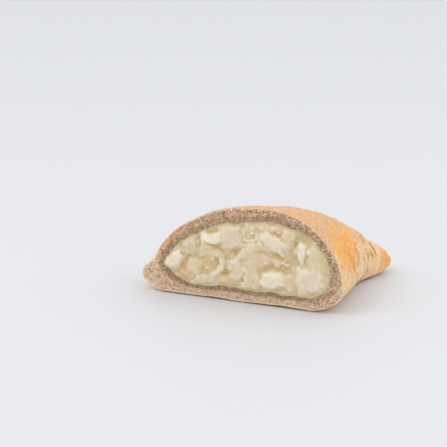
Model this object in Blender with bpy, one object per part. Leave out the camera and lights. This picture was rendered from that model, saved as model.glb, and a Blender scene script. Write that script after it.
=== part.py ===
"""Half of a whole-wheat calzone, cut straight across its middle and lying on its flat underside.

The dough was folded once, so one long side is a rounded fold (+X) and the other, curved side is a
crimped seam (-X). The cut face looks along -Y, and the fold and the seam meet in a drawn-out corner
at the far end (+Y). The functions below measure from the cut, which is their plane y = 0. At the end
all is moved so that the origin is the middle of the bounding box, on the surface that the calzone
rests on. All sizes are in metres.
"""

import math

import bmesh
import bpy
import numpy as np
from mathutils import Matrix, Vector, noise

# ---------------------------------------------------------------- driving sizes

WIDTH = 0.0944  # across the cut face, from the seam's lip to the fold
HEIGHT = 0.0446  # of the crown, which stands at the cut
LENGTH = 0.0620  # from the cut to the corner, before the corner is drawn out
CROWN_X = 0.012  # the crown stands this far from the middle, towards the fold

CORNER_X = 0.0435  # where the fold meets the seam
CORNER_ROUND = 0.0045  # how far along the outline the corner is softened
SEAM_CURVE = 1.12  # 1 makes the seam a quarter ellipse, more makes its far end pointed
HORN_REACH = 0.0095  # how far the corner is drawn out
HORN_SPREAD = 0.0095  # along the outline, to each side
HORN_ROOT = 0.70  # share of the way from the crown to the corner where the horn begins
HORN_TURN = math.radians(48)  # its direction, from +X towards +Y
CROWN_ROUND = 0.008  # how far along the outline the crown's reach to it is evened out
CROWN_EVENED = (0.3, 0.9)  # shares of the way to the outline between which that fades

CRIMP_PITCH = 0.0074  # from pleat to pleat along the seam
CRIMP_DEPTH = 0.0019
CRIMP_TWIST = 1.25  # how far the pleats lean round the lip, as on a rope
PUCKER_DEPTH = 0.0006  # the pleats' creases running on into the crust
PUCKER_REACH = 0.12  # share of the way from the lip to the crown

SWELL = 0.016  # unevenness of the baked dough, as a share of its size
SWELL_WAVELENGTH = 0.022

GAP = 0.0003  # clearance between the dough and the filling
FACE_RECESS = 0.0008  # the sauce between the pieces lies this far behind the cut
FACE_FADE = 0.012  # depth over which the core is moved back for that
PIECE_PROUD = 0.0014  # the filling's pieces stand out this far in front of the cut at most

# Each shell is described where it meets the seam, at the corner and at the fold, in that order.
OUTSIDE = {
    "crown": HEIGHT,
    "floor": 0.0,
    "inset": (0.0, 0.0, 0.0),  # inside the outline
    "tuck": (0.0075, 0.0042, 0.0160),  # how far the side curls in
    "under": (0.0013, 0.0, 0.0),  # how much further it curls in below its waist
    "slant": (0.38, 0.0, 0.0),  # 0 rounds the lower side, 1 makes it a straight slant
    "waist": (0.0072, 0.0054, 0.0124),  # height where it is widest
    "drop": (0.0072, 0.0036, 0.0124),  # from there down to the underside
    "shoulder": (math.radians(72), math.radians(60), 0.0),  # where the side's curve begins
    "base": (0.0080, 0.0060, 0.0124),  # height that the crown's curve runs down to
    "swell": (0.0, 0.0, 0.0),  # how much less full the dome is than an ellipse
}
INSIDE = {
    "crown": HEIGHT - 0.0058,
    "floor": 0.0062,
    "inset": (0.0100, 0.0165, 0.0057),
    "tuck": (0.0126, 0.0060, 0.0110),
    "waist": (0.0136, 0.0120, 0.0165),
    "drop": (0.0086, 0.0058, 0.0103),
    "shoulder": (0.0, 0.0, 0.0),
    "base": (0.0136, 0.0120, 0.0165),
    "under": (0.0, 0.0, 0.0),
    "slant": (0.8, 0.0, 0.0),
    "swell": (0.14, 0.0, -0.07),  # the crust is thicker over the seam and thinner over the fold
}

# The larger pieces that show in the filling: across and up the cut face, half sizes, and turn.
PIECES = (
    (-0.0325, 0.0153, 0.0048, 0.0046, 30),
    (-0.0070, 0.0295, 0.0084, 0.0052, 8),
    (-0.0160, 0.0272, 0.0046, 0.0030, 20),
    (0.0050, 0.0215, 0.0090, 0.0054, 48),
    (0.0150, 0.0298, 0.0088, 0.0030, -22),
    (0.0215, 0.0325, 0.0044, 0.0036, -10),
    (0.0284, 0.0262, 0.0028, 0.0042, 5),
    (0.0358, 0.0235, 0.0040, 0.0056, 10),
    (0.0325, 0.0145, 0.0060, 0.0056, 15),
    (0.0160, 0.0118, 0.0055, 0.0040, 0),
    (-0.0245, 0.0180, 0.0030, 0.0050, -35),
    (-0.0165, 0.0215, 0.0062, 0.0024, -20),
    (-0.0110, 0.0140, 0.0026, 0.0060, -25),
    (-0.0030, 0.0128, 0.0044, 0.0042, 15),
    (-0.0205, 0.0095, 0.0040, 0.0024, 10),
)
SMALL_PIECES = 18
SMALL_PIECE_SIZES = (0.0014, 0.0026)
SEED = 7

# How finely the loops are cut.
STEPS_PER_PLEAT = 6
FOLD_STEPS = 20
DOME_ROWS = 11
SIDE_ROWS = 9
INNER_STEPS = 34
INNER_ROWS = (9, 5)


# ---------------------------------------------------------------- the outline on the table


def smooth(low, high, value):
    """0 below low, 1 above high, and an even ease between them."""
    t = np.clip((value - low) / (high - low), 0.0, 1.0)
    return t * t * (3 - 2 * t)


def arc_lengths(points):
    return np.concatenate(([0.0], np.cumsum(np.linalg.norm(np.diff(points, axis=0), axis=1))))


def outline():
    """The widest reach seen from above, from the seam's end of the cut round the corner to the fold's.

    Returns the points, their distances along the line, the distance of the corner, and how far each
    point is moved where the corner is drawn out."""
    turn = np.linspace(0.0, math.pi / 2, 400)
    seam_width = CORNER_X + WIDTH / 2
    seam = np.stack((CORNER_X - seam_width * np.cos(turn) ** SEAM_CURVE, LENGTH * np.sin(turn)), axis=1)
    down = np.linspace(1.0, 0.0, 240)[1:]
    fold = np.stack((CORNER_X + (WIDTH / 2 - CORNER_X) * (1 - down**2), LENGTH * down), axis=1)
    line = np.concatenate((seam, fold))

    # Evenly spaced points, so that averaging neighbours softens the corner alike on both sides.
    along = arc_lengths(line)
    step = 0.0002
    even = np.arange(0.0, along[-1], step)
    line = np.stack([np.interp(even, along, line[:, axis]) for axis in (0, 1)], axis=1)
    reach = int(3 * CORNER_ROUND / step)
    weights = np.exp(-0.5 * (np.arange(-reach, reach + 1) * step / CORNER_ROUND) ** 2)
    weights /= weights.sum()
    mirror = np.array((1.0, -1.0))  # the whole calzone runs on across the cut
    padded = np.concatenate((line[reach:0:-1] * mirror, line, line[-2 : -reach - 2 : -1] * mirror))
    line = np.stack([np.convolve(padded[:, axis], weights, mode="valid") for axis in (0, 1)], axis=1)
    line[0, 1] = line[-1, 1] = 0.0

    along = arc_lengths(line)
    toward = np.array((math.cos(HORN_TURN), math.sin(HORN_TURN)))
    corner = along[np.argmax(line @ toward)]
    pulled = HORN_REACH * np.exp(-(((along - corner) / HORN_SPREAD) ** 2))
    return line, along, corner, pulled[:, None] * toward


LINE, ALONG, CORNER, HORN = outline()
CROWN = np.array((CROWN_X, 0.0))


def even_reach():
    """The crown's distance from the outline, averaged so that the corner doesn't crease the crown."""
    reach = np.linalg.norm(LINE - CROWN, axis=1)
    near = np.exp(-0.5 * ((ALONG[:, None] - ALONG) / CROWN_ROUND) ** 2)
    return near @ reach / near.sum(axis=1)


EVEN_REACH = even_reach()


def at_outline(s, values):
    return np.array([np.interp(s, ALONG, values[:, axis]) for axis in (0, 1)])


def shares(s):
    """How much a place on the outline belongs to the seam, the corner and the fold."""
    seam = 1 - smooth(CORNER - 0.016, CORNER - 0.001, s)
    fold = smooth(CORNER + 0.001, CORNER + 0.018, s)
    return np.array((seam, 1 - seam - fold, fold))


# ---------------------------------------------------------------- one upright profile of a shell


def swollen(x, y, height):
    """The unevenness of the dough at a place, as a factor near 1."""
    wave = Vector((x, y, height)) / SWELL_WAVELENGTH
    return 1 + SWELL * noise.noise(wave)


def crimp(s, around, depth):
    """How far a pleat stands out from the lip: rounded ridges between narrow creases."""
    phase = math.pi * s / CRIMP_PITCH + 0.5 * CRIMP_TWIST * around
    return depth * (abs(math.cos(phase)) ** 0.8 - 0.62)


def profile(shell, s, rows, shrink=0.0):
    """Points from the crown, over the side, to the middle of the underside, above one ray on the table.

    rows gives the steps over the dome and round the side, and shrink draws the shell in all round."""
    share = shares(s)
    at = {name: float(share @ value) for name, value in shell.items() if isinstance(value, tuple)}
    crown = shell["crown"] - shrink
    floor = shell["floor"] + shrink
    ray = at_outline(s, LINE) - CROWN
    full = float(np.linalg.norm(ray))
    even = float(np.interp(s, ALONG, EVEN_REACH)) / full
    ray /= full
    horn = at_outline(s, HORN)
    reach = full - at["inset"] - shrink
    across = ray[1] ** 2  # 0 along the cut, 1 straight away from it
    power = 2 - 0.36 * across - at["swell"]
    lift = 0.5 + 0.15 * across + 0.12 * share[1] + at["swell"]

    centre = reach - at["tuck"]
    drop = at["drop"] - shrink
    slant = 1 + at["slant"]
    start = at["shoulder"]
    join = (centre + at["tuck"] * math.cos(start), at["waist"] + drop * math.sin(start))
    rise = (join[1] - at["base"]) / (crown - at["base"])
    last = math.asin(max(rise, 0.0) ** (1 / (2 * lift)))
    dome_reach = join[0] / math.cos(last) ** (2 / power)

    dome_rows, side_rows = rows
    points = []
    for i in range(dome_rows):
        angle = math.pi / 2 + (last - math.pi / 2) * i / dome_rows
        r = dome_reach * max(math.cos(angle), 0.0) ** (2 / power)
        r *= 1 + (even - 1) * (1 - smooth(*CROWN_EVENED, r / dome_reach))
        z = at["base"] + (crown - at["base"]) * math.sin(angle) ** (2 * lift)
        if shell is OUTSIDE:
            near_lip = smooth(1 - PUCKER_REACH, 1.0, r / dome_reach)
            z += share[0] * near_lip * crimp(s, start, PUCKER_DEPTH)
        points.append((r, z))
    for i in range(side_rows + 1):
        angle = start + (-math.pi / 2 - start) * i / side_rows
        out = 0.0
        if shell is OUTSIDE:
            out = share[0] * crimp(s, angle, CRIMP_DEPTH) * math.cos(0.5 * angle) ** 2
            out *= 1 - smooth(0.3, 1.0, -angle / (math.pi / 2))
        if angle >= 0:
            r = centre + (at["tuck"] + out) * math.cos(angle)
            z = at["waist"] + (drop + out) * math.sin(angle)
        else:
            r = centre - at["under"] + (at["tuck"] + at["under"] + out) * abs(math.cos(angle)) ** slant
            z = at["waist"] - (drop + out) * abs(math.sin(angle)) ** slant
        points.append((r, z))
    points.append((max(centre - 0.013, 0.3 * centre), floor))
    points.append((0.0, floor))

    lowest = min(floor, at["waist"] - drop)
    placed = []
    for r, z in points:
        x, y = CROWN + ray * r
        factor = swollen(x, y, z)
        x, y = CROWN + ray * r * (1 + 0.5 * (factor - 1)) + horn * smooth(HORN_ROOT, 1.0, r / full)
        if z > floor + 1e-6:
            z = floor + (z - floor) * factor
        placed.append((x, y, max(z, lowest)))
    return placed


def outer_stations():
    """Where the outer shell's profiles stand on the outline: in step with the pleats, then evenly."""
    seam_end = CORNER + 0.004
    count = round(seam_end / CRIMP_PITCH * STEPS_PER_PLEAT)
    seam = np.linspace(0.0, seam_end, count + 1)
    fold = np.linspace(seam_end, ALONG[-1], FOLD_STEPS + 1)[1:]
    return np.concatenate((seam, fold))


def inner_stations():
    return np.linspace(0.0, ALONG[-1], INNER_STEPS + 1)


# ---------------------------------------------------------------- making the solids


def material(name, colour, roughness):
    made = bpy.data.materials.new(name)
    made.use_nodes = True
    shader = made.node_tree.nodes["Principled BSDF"]
    shader.inputs["Base Color"].default_value = (*colour, 1.0)
    shader.inputs["Roughness"].default_value = roughness
    shader.inputs["Metallic"].default_value = 0.0
    return made


def add_object(name, mesh, collection):
    made = bpy.data.objects.new(name, mesh)
    collection.objects.link(made)
    return made


def loft(name, profiles, collection, forward=0.0):
    """A closed solid through a fan of profiles that share their first and last points.

    The open side, in the plane of the cut, is closed by one flat face. With forward, that face is moved
    this far in front of the cut, and a wall joins it to the shell."""
    bm = bmesh.new()
    top = bm.verts.new(profiles[0][0])
    bottom = bm.verts.new(profiles[0][-1])
    columns = [[top, *(bm.verts.new(p) for p in column[1:-1]), bottom] for column in profiles]
    for left, right in zip(columns, columns[1:]):
        for row in range(len(left) - 1):
            corners = (left[row], left[row + 1], right[row + 1], right[row])
            bm.faces.new(list(dict.fromkeys(corners)))
    rim = columns[0] + columns[-1][-2:0:-1]
    if forward:
        front = [bm.verts.new(v.co - Vector((0, forward, 0))) for v in rim]
        for i, v in enumerate(rim):
            j = (i + 1) % len(rim)
            bm.faces.new((v, rim[j], front[j], front[i]))
        rim = front
    bm.faces.new(rim)
    bmesh.ops.recalc_face_normals(bm, faces=bm.faces)
    bmesh.ops.triangulate(bm, faces=bm.faces)  # bent quads have no one plane for the boolean to cut
    mesh = bpy.data.meshes.new(name)
    bm.to_mesh(mesh)
    bm.free()
    return add_object(name, mesh, collection)


def boolean(target, operation, cutter=None, collection=None):
    """Joins or cuts target and applies the result to its mesh."""
    modifier = target.modifiers.new(operation.title(), "BOOLEAN")
    modifier.operation = operation
    modifier.solver = "EXACT"
    if collection is None:
        modifier.object = cutter
    else:
        modifier.operand_type = "COLLECTION"
        modifier.collection = collection
    graph = bpy.context.evaluated_depsgraph_get()
    mesh = bpy.data.meshes.new_from_object(target.evaluated_get(graph))
    target.modifiers.clear()
    target.data = mesh


def shade(target, made):
    target.data.materials.clear()
    target.data.materials.append(made)
    target.data.shade_smooth()
    target.data.set_sharp_from_angle(angle=math.radians(40))


def section_rim(shell, rows, shrink):
    """The shell's outline in the plane of the cut, as (x, z) points in order."""
    left = profile(shell, 0.0, rows, shrink)
    right = profile(shell, ALONG[-1], rows, shrink)
    return [(p[0], p[2]) for p in left + right[-2:0:-1]]


def room_inside(rim, x, z):
    """The distance from a point of the cut face to the rim, or a negative number outside it."""
    inside = False
    nearest = 1.0
    for (ax, az), (bx, bz) in zip(rim, rim[1:] + rim[:1]):
        if (az > z) != (bz > z) and x < ax + (bx - ax) * (z - az) / (bz - az):
            inside = not inside
        edge = Vector((bx - ax, bz - az))
        t = min(max(Vector((x - ax, z - az)).dot(edge) / max(edge.length_squared, 1e-12), 0.0), 1.0)
        nearest = min(nearest, math.hypot(x - ax - t * edge.x, z - az - t * edge.y))
    return nearest if inside else -nearest


def held_inside(rim, centre, place):
    """A piece's point, drawn towards the piece's centre until it clears the walls of the hollow."""
    clearance = 0.0002 + 0.1 * max(place.y, 0.0)  # the walls close in behind the cut
    for step in range(10):
        held = place.lerp(centre, 0.1 * step)
        if room_inside(rim, held.x, held.z) > clearance:
            return Vector((held.x, place.y, held.z))
    return Vector((centre.x, place.y, centre.z))


def lump(x, z, half_x, half_z, turn, draw, rim, collection):
    """One softened, uneven piece of the filling, mostly sunk in the sauce behind the cut."""
    bm = bmesh.new()
    bmesh.ops.create_icosphere(bm, subdivisions=2, radius=1.0)
    blocky = 0.55  # from a ball, 0, towards a block, 1
    half_y = 0.32 * (half_x + half_z)
    offset = Vector(draw.uniform(0, 50, 3))
    for v in bm.verts:
        way = v.co.copy()
        way /= max(abs(way.x), abs(way.y), abs(way.z)) ** blocky
        v.co = way * (0.86 + 0.14 * noise.noise(way * 1.7 + offset))
    placed = Matrix.Rotation(-math.radians(turn), 4, "Y") @ Matrix.Diagonal((half_x, half_y, half_z, 1))
    bmesh.ops.transform(bm, matrix=placed, verts=bm.verts)
    front = min(v.co.y for v in bm.verts)
    proud = min(PIECE_PROUD * draw.uniform(0.35, 1.0), 0.4 * half_y)  # the rest is sunk in the core
    centre = Vector((x, -proud - front, z))
    for v in bm.verts:
        v.co = held_inside(rim, centre, centre + v.co)
    mesh = bpy.data.meshes.new("piece")
    bm.to_mesh(mesh)
    bm.free()
    return add_object("piece", mesh, collection)


def make_pieces(rim, collection):
    """The pieces that stand in the cut face: the large ones by hand, small ones in what is left."""
    draw = np.random.default_rng(SEED)
    taken = []
    for x, z, half_x, half_z, turn in PIECES:
        lump(x, z, half_x, half_z, turn, draw, rim, collection)
        taken.append((x, z, 0.7 * min(half_x, half_z)))
    low = np.min(rim, axis=0)
    high = np.max(rim, axis=0)
    made = 0
    for _ in range(2000):
        if made == SMALL_PIECES:
            break
        x, z = draw.uniform(low, high)
        size = draw.uniform(*SMALL_PIECE_SIZES)
        clear = all(math.hypot(x - a, z - b) > c + 0.6 * size for a, b, c in taken)
        if room_inside(rim, x, z) > 1.25 * size + 0.0002 and clear:
            lump(x, z, size * 1.25, size * 0.85, draw.uniform(-90, 90), draw, rim, collection)
            taken.append((x, z, size))
            made += 1


def make_dough(parts, cutters):
    """The baked dough: the outer form with the filling's hollow taken out through the cut face."""
    outer = [profile(OUTSIDE, s, (DOME_ROWS, SIDE_ROWS)) for s in outer_stations()]
    dough = loft("dough", outer, parts)
    hollow_shape = [profile(INSIDE, s, INNER_ROWS) for s in inner_stations()]
    hollow = loft("hollow", hollow_shape, cutters, forward=0.004)
    boolean(dough, "DIFFERENCE", cutter=hollow)
    shade(dough, material("baked_dough", (0.80, 0.46, 0.19), 0.6))
    return dough


def make_filling(parts):
    """The filling: a sauce-bound core as deep as the hollow, with the pieces that show fused on."""
    core_shape = []
    for s in inner_stations():
        column = np.array(profile(INSIDE, s, INNER_ROWS, GAP))
        column[:, 1] += FACE_RECESS * (1 - smooth(0, FACE_FADE, column[:, 1]))
        core_shape.append(column.tolist())
    filling = loft("filling", core_shape, parts)
    pieces = bpy.data.collections.new("filling_pieces")
    bpy.context.scene.collection.children.link(pieces)
    make_pieces(section_rim(INSIDE, INNER_ROWS, GAP), pieces)
    boolean(filling, "UNION", collection=pieces)
    for piece in list(pieces.objects):
        bpy.data.objects.remove(piece)
    bpy.data.collections.remove(pieces)
    shade(filling, material("creamy_filling", (0.78, 0.70, 0.52), 0.35))
    return filling


def centre_on_origin(objects):
    """Moves the meshes so that the middle of the whole lies over the origin."""
    xs = [v.co.x for o in objects for v in o.data.vertices]
    ys = [v.co.y for o in objects for v in o.data.vertices]
    shift = Matrix.Translation((-(min(xs) + max(xs)) / 2, -(min(ys) + max(ys)) / 2, 0))
    for o in objects:
        o.data.transform(shift)


def main():
    for old in list(bpy.data.objects):
        bpy.data.objects.remove(old)
    scene = bpy.context.scene
    parts = bpy.data.collections.new("calzone_half")
    cutters = bpy.data.collections.new("cutters")
    scene.collection.children.link(parts)
    scene.collection.children.link(cutters)
    dough = make_dough(parts, cutters)
    filling = make_filling(parts)
    for cutter in list(cutters.objects):
        bpy.data.objects.remove(cutter)
    bpy.data.collections.remove(cutters)
    centre_on_origin([dough, filling])


main()
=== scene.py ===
# %% [markdown]
# A cut calzone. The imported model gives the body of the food: baked dough with a hollow, and the
# filling in it. This script keeps those forms and gives them what an oven and a knife give the real
# thing: pleats with crisp creases, a blistered crust with bran in it, a torn, grainy crumb where the
# knife went through, and soft pieces bound by sauce. The dough and the filling are each rebuilt as a
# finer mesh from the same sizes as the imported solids, because relief this fine needs points that the
# solids don't have.

# %% Start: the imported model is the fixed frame
import math

import bpy
import numpy as np
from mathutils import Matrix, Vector, noise
from mathutils.geometry import delaunay_2d_cdt


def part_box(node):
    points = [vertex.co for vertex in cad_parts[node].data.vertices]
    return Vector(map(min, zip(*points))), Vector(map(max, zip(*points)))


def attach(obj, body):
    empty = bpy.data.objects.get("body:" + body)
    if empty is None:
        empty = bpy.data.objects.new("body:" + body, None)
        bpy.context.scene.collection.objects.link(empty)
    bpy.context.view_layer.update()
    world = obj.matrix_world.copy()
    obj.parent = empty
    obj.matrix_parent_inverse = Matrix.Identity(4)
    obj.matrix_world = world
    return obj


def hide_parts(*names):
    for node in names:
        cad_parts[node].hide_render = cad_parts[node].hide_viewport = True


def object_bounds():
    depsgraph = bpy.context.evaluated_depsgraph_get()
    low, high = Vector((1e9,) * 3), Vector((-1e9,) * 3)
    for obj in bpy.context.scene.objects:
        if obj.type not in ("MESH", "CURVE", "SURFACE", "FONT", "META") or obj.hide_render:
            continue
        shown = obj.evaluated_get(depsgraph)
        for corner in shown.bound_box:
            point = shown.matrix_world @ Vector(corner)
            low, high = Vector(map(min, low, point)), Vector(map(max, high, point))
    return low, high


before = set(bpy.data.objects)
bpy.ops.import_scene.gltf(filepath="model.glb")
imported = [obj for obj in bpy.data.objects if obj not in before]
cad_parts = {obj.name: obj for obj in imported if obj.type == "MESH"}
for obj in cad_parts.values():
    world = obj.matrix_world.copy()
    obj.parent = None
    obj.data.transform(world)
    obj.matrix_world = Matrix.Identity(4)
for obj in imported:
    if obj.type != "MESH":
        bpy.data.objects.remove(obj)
cad_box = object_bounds()
print("nodes:", sorted(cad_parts))
print("box:", [tuple(round(c, 4) for c in corner) for corner in cad_box])

# %% [markdown]
# The calzone's form. Seen from above it is a half moon cut in two: a straight fold on one side, a
# curved seam on the other, and a corner between them that is drawn out into a small horn. It could be
# sculpted or read off the solid, but a formula for one upright profile, swept round the outline, gives
# even rows of points that relief can follow. These are the solids' own sizes, in metres.

# %% Sizes of the whole
WIDTH = 0.0944  # across the cut face, from the seam's lip to the fold
HEIGHT = 0.0446  # of the crown, which stands at the cut
LENGTH = 0.0620  # from the cut to the corner, before the corner is drawn out
CROWN = np.array((0.012, 0.0))  # seen from above, from the middle of the cut

CORNER_X = 0.0435  # where the fold meets the seam
CORNER_ROUND = 0.0045
SEAM_CURVE = 1.12  # 1 makes the seam a quarter ellipse, more makes its far end pointed
HORN_REACH = 0.0095
HORN_SPREAD = 0.0095
HORN_ROOT = 0.70  # share of the way from the crown to the corner where the horn begins
HORN_TURN = math.radians(48)
CROWN_ROUND = 0.008
CROWN_EVENED = (0.3, 0.9)

CRIMP_PITCH = 0.0074  # from pleat to pleat along the seam
CRIMP_DEPTH = 0.0019
CRIMP_TWIST = 1.25
PUCKER_DEPTH = 0.0006
PUCKER_REACH = 0.12

SWELL = 0.016  # unevenness of the baked dough, as a share of its size
SWELL_WAVELENGTH = 0.022

# Each shell has its sizes at the seam, at the corner and at the fold, in that order.
OUTSIDE = {
    "crown": HEIGHT,
    "floor": 0.0,
    "inset": (0.0, 0.0, 0.0),
    "tuck": (0.0075, 0.0042, 0.0160),
    "under": (0.0013, 0.0, 0.0),
    "slant": (0.38, 0.0, 0.0),  # 0 rounds the lower side, 1 makes it a straight slant
    "waist": (0.0072, 0.0054, 0.0124),
    "drop": (0.0072, 0.0036, 0.0124),
    "shoulder": (math.radians(72), math.radians(60), 0.0),
    "base": (0.0080, 0.0060, 0.0124),
    "swell": (0.0, 0.0, 0.0),
}
INSIDE = {
    "crown": HEIGHT - 0.0058,
    "floor": 0.0062,
    "inset": (0.0100, 0.0165, 0.0057),
    "tuck": (0.0126, 0.0060, 0.0110),
    "waist": (0.0136, 0.0120, 0.0165),
    "drop": (0.0086, 0.0058, 0.0103),
    "shoulder": (0.0, 0.0, 0.0),
    "base": (0.0136, 0.0120, 0.0165),
    "under": (0.0, 0.0, 0.0),
    "slant": (0.8, 0.0, 0.0),
    "swell": (0.14, 0.0, -0.07),
}


# %% The outline on the table
def smooth(low, high, value):
    """0 below low, 1 above high, and an even ease between them."""
    t = np.clip((value - low) / (high - low), 0.0, 1.0)
    return t * t * (3 - 2 * t)


def lengths_along(points):
    steps = np.linalg.norm(np.diff(points, axis=0), axis=1)
    return np.concatenate(([0.0], np.cumsum(steps)))


def make_outline():
    """The widest reach seen from above, from the seam's end of the cut to the fold's end of it."""
    turn = np.linspace(0.0, math.pi / 2, 400)
    seam_width = CORNER_X + WIDTH / 2
    seam = np.stack((CORNER_X - seam_width * np.cos(turn) ** SEAM_CURVE, LENGTH * np.sin(turn)), axis=1)
    down = np.linspace(1.0, 0.0, 240)[1:]
    fold = np.stack((CORNER_X + (WIDTH / 2 - CORNER_X) * (1 - down**2), LENGTH * down), axis=1)
    line = np.concatenate((seam, fold))

    along = lengths_along(line)
    step = 0.0002
    even = np.arange(0.0, along[-1], step)
    line = np.stack([np.interp(even, along, line[:, axis]) for axis in (0, 1)], axis=1)
    reach = int(3 * CORNER_ROUND / step)
    weights = np.exp(-0.5 * (np.arange(-reach, reach + 1) * step / CORNER_ROUND) ** 2)
    weights /= weights.sum()
    mirror = np.array((1.0, -1.0))
    padded = np.concatenate((line[reach:0:-1] * mirror, line, line[-2 : -reach - 2 : -1] * mirror))
    line = np.stack([np.convolve(padded[:, axis], weights, mode="valid") for axis in (0, 1)], axis=1)
    line[0, 1] = line[-1, 1] = 0.0

    along = lengths_along(line)
    toward = np.array((math.cos(HORN_TURN), math.sin(HORN_TURN)))
    corner = along[np.argmax(line @ toward)]
    pulled = HORN_REACH * np.exp(-(((along - corner) / HORN_SPREAD) ** 2))
    return line, along, corner, pulled[:, None] * toward


LINE, ALONG, CORNER, HORN = make_outline()
REACH = np.linalg.norm(LINE - CROWN, axis=1)
near = np.exp(-0.5 * ((ALONG[:, None] - ALONG) / CROWN_ROUND) ** 2)
EVEN_REACH = near @ REACH / near.sum(axis=1)
print(f"outline {ALONG[-1] * 1000:.1f} mm long, corner at {CORNER * 1000:.1f} mm")


# %% [markdown]
# The profile. An upright slice through the food, from the crown outwards, is a low dome that turns round
# a full side and ends on the flat underside. At the seam the side is a thin lip with pleats, where two
# layers of dough were pressed together; at the fold it is thick and round. A loft through a few drawn
# slices would smear the pleats, so every slice is worked out from sizes that change along the outline.

# %% One upright profile
def shares(s):
    """How much a place on the outline belongs to the seam, the corner and the fold."""
    seam = 1 - smooth(CORNER - 0.016, CORNER - 0.001, s)
    fold = smooth(CORNER + 0.001, CORNER + 0.018, s)
    return np.array((seam, 1 - seam - fold, fold))


def crimp(s, around, depth):
    """How far a pleat stands out from the lip: rounded ridges between narrow creases."""
    phase = math.pi * s / CRIMP_PITCH + 0.5 * CRIMP_TWIST * around
    return depth * (np.abs(np.cos(phase)) ** 0.8 - 0.62)


def swollen(x, y, z):
    return np.array([1 + SWELL * noise.noise(Vector(p) / SWELL_WAVELENGTH) for p in zip(x, y, z)])


def profile(shell, s, shrink=0.0):
    """Close points from the crown to the middle of the underside, and where the side ends."""
    share = shares(s)
    at = {name: float(share @ value) for name, value in shell.items() if isinstance(value, tuple)}
    crown = shell["crown"] - shrink
    floor = shell["floor"] + shrink
    ray = np.array([np.interp(s, ALONG, LINE[:, axis]) for axis in (0, 1)]) - CROWN
    full = float(np.linalg.norm(ray))
    ray /= full
    even = float(np.interp(s, ALONG, EVEN_REACH)) / full
    horn = np.array([np.interp(s, ALONG, HORN[:, axis]) for axis in (0, 1)])
    reach = full - at["inset"] - shrink
    across = ray[1] ** 2
    power = 2 - 0.36 * across - at["swell"]
    lift = 0.5 + 0.15 * across + 0.12 * share[1] + at["swell"]

    centre = reach - at["tuck"]
    drop = at["drop"] - shrink
    start = at["shoulder"]
    join = (centre + at["tuck"] * math.cos(start), at["waist"] + drop * math.sin(start))
    rise = (join[1] - at["base"]) / (crown - at["base"])
    last = math.asin(max(rise, 0.0) ** (1 / (2 * lift)))
    dome_reach = join[0] / math.cos(last) ** (2 / power)

    angle = np.linspace(math.pi / 2, last, 141)[:-1]
    dome_r = dome_reach * np.cos(angle).clip(0.0) ** (2 / power)
    dome_r *= 1 + (even - 1) * (1 - smooth(*CROWN_EVENED, dome_r / dome_reach))
    dome_z = at["base"] + (crown - at["base"]) * np.sin(angle) ** (2 * lift)
    angle = np.linspace(start, -math.pi / 2, 61)
    out = np.zeros_like(angle)
    if shell is OUTSIDE:
        near_lip = smooth(1 - PUCKER_REACH, 1.0, dome_r / dome_reach)
        dome_z += share[0] * near_lip * crimp(s, start, PUCKER_DEPTH)
        out = share[0] * crimp(s, angle, CRIMP_DEPTH) * np.cos(0.5 * angle) ** 2
        out *= 1 - smooth(0.3, 1.0, -angle / (math.pi / 2))
    below = angle < 0
    power = np.where(below, 1 + at["slant"], 1.0)
    under = at["under"] * below
    side_r = centre - under + (at["tuck"] + under + out) * np.abs(np.cos(angle)) ** power
    side_z = at["waist"] + (drop + out) * np.sign(angle) * np.abs(np.sin(angle)) ** power
    side_end = len(dome_r) + len(side_r) - 1
    r = np.concatenate((dome_r, side_r, [max(centre - 0.013, 0.3 * centre), 0.0]))
    z = np.concatenate((dome_z, side_z, [floor, floor]))

    x, y = CROWN[0] + ray[0] * r, CROWN[1] + ray[1] * r
    factor = swollen(x, y, z)
    r_swollen = r * (1 + 0.5 * (factor - 1))
    drawn = smooth(HORN_ROOT, 1.0, r / full)
    x = CROWN[0] + ray[0] * r_swollen + horn[0] * drawn
    y = CROWN[1] + ray[1] * r_swollen + horn[1] * drawn
    lowest = min(floor, at["waist"] - drop)
    z = np.where(z > floor, floor + (z - floor) * factor, np.maximum(z, lowest))
    return np.stack((x, y, z), axis=1), side_end


def resampled(points, count):
    """count + 1 points at even distances along a line of points."""
    along = lengths_along(points)
    wanted = np.linspace(0.0, along[-1], count + 1)
    return np.stack([np.interp(wanted, along, points[:, axis]) for axis in range(3)], axis=1)


def shell_grid(shell, distances, side_rows, under_rows, shrink=0.0):
    """A grid of points, a column for each distance, from the crown to the underside's middle."""
    columns = []
    for s in distances:
        points, end = profile(shell, s, shrink)
        side = resampled(points[: end + 1], side_rows)
        under = resampled(points[end:], under_rows)
        columns.append(np.concatenate((side, under[1:])))
    return np.array(columns)


# %% [markdown]
# The formula has its own origin, in the middle of the cut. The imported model's box tells where that is
# in the frame, so both are measured and the difference is kept as a shift.

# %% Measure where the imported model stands
probe = shell_grid(OUTSIDE, np.linspace(0.0, ALONG[-1], 240), 90, 3).reshape(-1, 3)
dough_low, dough_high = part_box("dough")
CUT_Y = dough_low.y
SHIFT = np.array(((dough_low.x + dough_high.x - probe[:, 0].min() - probe[:, 0].max()) / 2, CUT_Y, 0.0))
print("cut face at y =", round(CUT_Y * 1000, 2), "mm; shift", (SHIFT * 1000).round(3))
print("fine form", ((probe.max(0) - probe.min(0)) * 1000).round(2), "mm")
print("solid", (dough_high - dough_low) * 1000, "mm")

# %% [markdown]
# Tools for meshes. The shells are grids that share their first point, the crown, and their last, the
# middle of the underside. The cut face is flat, so it is filled with scattered points joined by
# Delaunay triangles: unlike a grid, they show no rows when the surface is roughened.


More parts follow.
